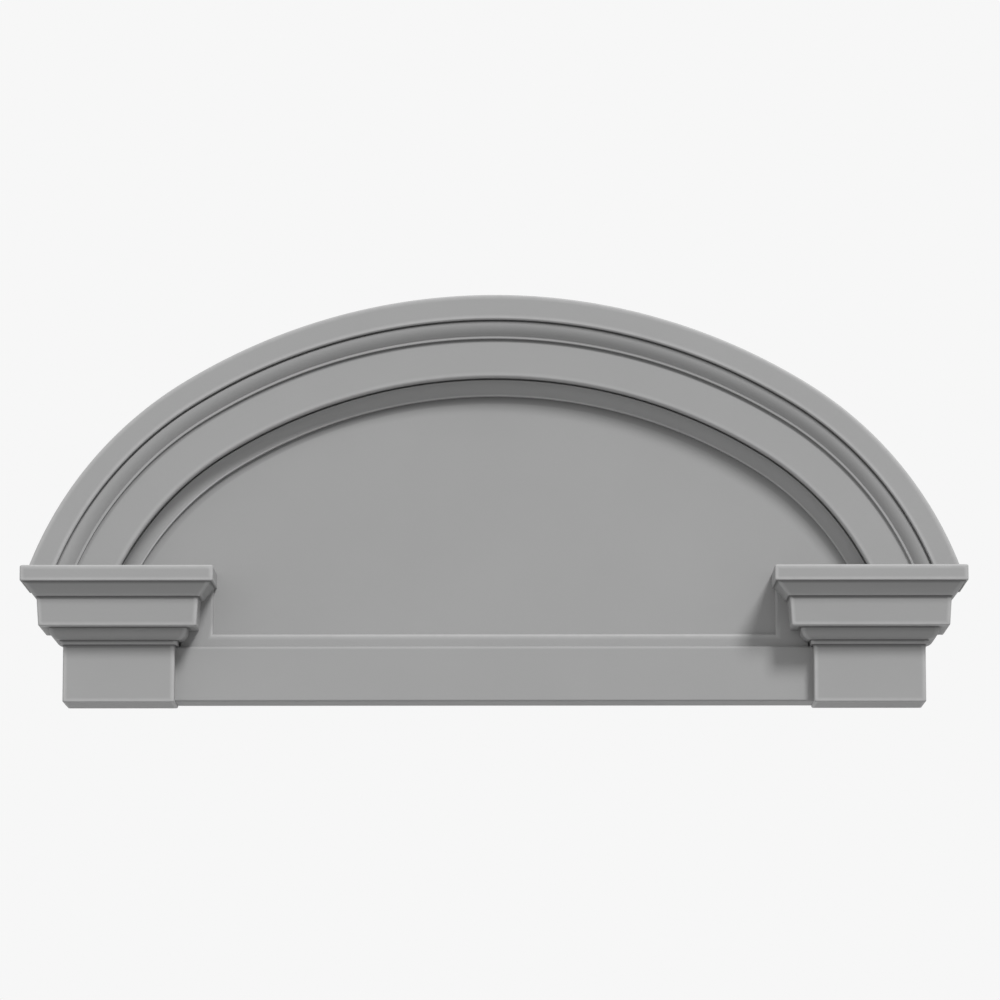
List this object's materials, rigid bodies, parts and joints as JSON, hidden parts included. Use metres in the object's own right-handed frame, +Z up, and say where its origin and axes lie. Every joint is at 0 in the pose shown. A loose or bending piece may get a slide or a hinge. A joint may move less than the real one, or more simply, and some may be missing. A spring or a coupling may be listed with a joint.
{
  "type": "arched pediment",
  "caption": "Elliptical arched overdoor pediment with a plain tympanum, a broken base cornice and moulded end blocks; hangs flat on a wall.",
  "frame": {"origin": "middle of the springing line, where the arch meets the tops of the end blocks, on the wall plane", "axes": "+X along the width to the viewer's right, +Y into the wall, so the front faces -Y, +Z up"},
  "size_m": [1.52, 0.16, 0.663],
  "materials": {
    "primer": "matt grey primer, sprayed, with the faint mottle of a moulded skin"
  },
  "bodies": {
    "root": {"pediment": "primer"}
  },
  "joints": []
}
